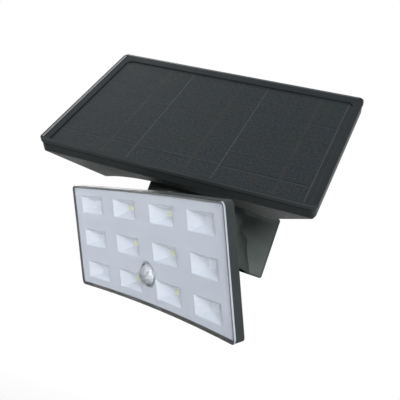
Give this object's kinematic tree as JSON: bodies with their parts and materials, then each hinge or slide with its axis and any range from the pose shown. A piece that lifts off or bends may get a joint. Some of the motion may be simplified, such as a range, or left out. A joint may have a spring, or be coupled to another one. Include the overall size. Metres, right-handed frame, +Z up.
{
  "type": "solar flood light",
  "caption": "Wall-mounted solar flood light: tilting solar box over a bell-shaped bracket, with a wide concave LED head and motion sensor dome on a ball joint.",
  "frame": {"origin": "midway between the two wall screw holes, on the wall plate's back face", "axes": "+Z up, +Y into the wall, the light faces -Y, +X to the right as seen from the front"},
  "size_m": [0.2031, 0.213, 0.195],
  "materials": {
    "bracket": "moulded grey-green plastic, fine grain",
    "housing": "moulded charcoal plastic, semi-gloss",
    "bezel": "moulded charcoal plastic, glossy edges",
    "knuckle": "moulded charcoal plastic",
    "plated_steel": "zinc plated",
    "stud_metal": "black painted steel",
    "rubber_seal": "black rubber",
    "solar_sheet": "dark resin sheet, satin",
    "solar_cell": "dark silicon under a satin resin coat",
    "ribbon": "bright tinned ribbon",
    "battery_wrap": "shrink wrap",
    "holder_plastic": "moulded black plastic",
    "circuit_board": "green solder mask",
    "parts_black": "moulded components",
    "switch_red": "moulded plunger",
    "button_rubber": "soft-touch rubber",
    "liner_plastic": "natural acetal",
    "clear_cover": "clear polycarbonate",
    "reflector": "pale grey moulding, satin",
    "led_board": "white solder mask",
    "led_chip": "yellow phosphor",
    "dome_lens": "milky polyethylene dome",
    "trim": "dark trim ring",
    "can_metal": "nickel-plated can"
  },
  "bodies": {
    "bracket": {"wall_bracket": "bracket", "head_ball_stud": "stud_metal", "head_stud_nut": "plated_steel"},
    "turret": {"turret_yoke": "knuckle", "turret_washer": "plated_steel", "turret_screw": "plated_steel", "tilt_bolt": "plated_steel", "tilt_washers": "plated_steel", "tilt_nut": "plated_steel"},
    "knuckle": {"panel_knuckle": "knuckle", "knuckle_washer": "plated_steel", "knuckle_screw": "plated_steel"},
    "panel": {"panel_tray": "housing", "panel_bezel": "bezel", "panel_gasket": "rubber_seal", "tray_screws": "plated_steel", "solar_laminate": "solar_sheet", "solar_cells": "solar_cell", "cell_ribbons": "ribbon", "battery_holders": "holder_plastic", "battery_cells": "battery_wrap", "controller_board": "circuit_board", "controller_parts": "parts_black", "board_screws": "plated_steel", "button_seal": "rubber_seal", "switch_board": "circuit_board", "tact_switch": "parts_black"},
    "mode_button": {"mode_button": "button_rubber", "switch_plunger": "switch_red"},
    "head_pivot": {"head_ball_liner": "liner_plastic"},
    "head": {"head_shell": "housing", "head_lock_ring": "housing", "lock_ring_screws": "plated_steel", "lens_cover": "clear_cover", "cover_gasket": "rubber_seal", "reflector_plate": "reflector", "led_boards": "led_board", "led_chips": "led_chip", "pir_lens": "dome_lens", "pir_ring": "trim", "pir_sensor": "can_metal", "sensor_board": "circuit_board", "head_screws": "plated_steel"}
  },
  "joints": [
    {"name": "panel_swivel", "type": "hinge", "parent": "bracket", "child": "turret", "pos_m": [0, -0.0682, 0], "axis": [0, 0, 1], "range_deg": [-38, 52]},
    {"name": "panel_tilt", "type": "hinge", "parent": "turret", "child": "knuckle", "pos_m": [0, -0.0682, 0.016], "axis": [0.9924, -0.1231, 0], "range_deg": [-55, 1]},
    {"name": "panel_turn", "type": "hinge", "parent": "knuckle", "child": "panel", "pos_m": [0, -0.0682, 0.016], "axis": [-0.1011, -0.8155, 0.5699], "range_deg": [-6, 3]},
    {"name": "button_press", "type": "slide", "parent": "panel", "child": "mode_button", "axis": [-0.7117, -0.5632, 0.4198], "range_m": [0, 0.001], "stiffness_N_per_m": 1500, "springref_m": -0.0005},
    {"name": "head_swivel", "type": "hinge", "parent": "bracket", "child": "head_pivot", "pos_m": [0, -0.1245, -0.0317], "axis": [0, 0, 1], "range_deg": [-2, 84]},
    {"name": "head_tilt", "type": "hinge", "parent": "head_pivot", "child": "head", "pos_m": [0, -0.1245, -0.0317], "axis": [0.7361, -0.6769, 0], "range_deg": [-23, 12]}
  ]
}
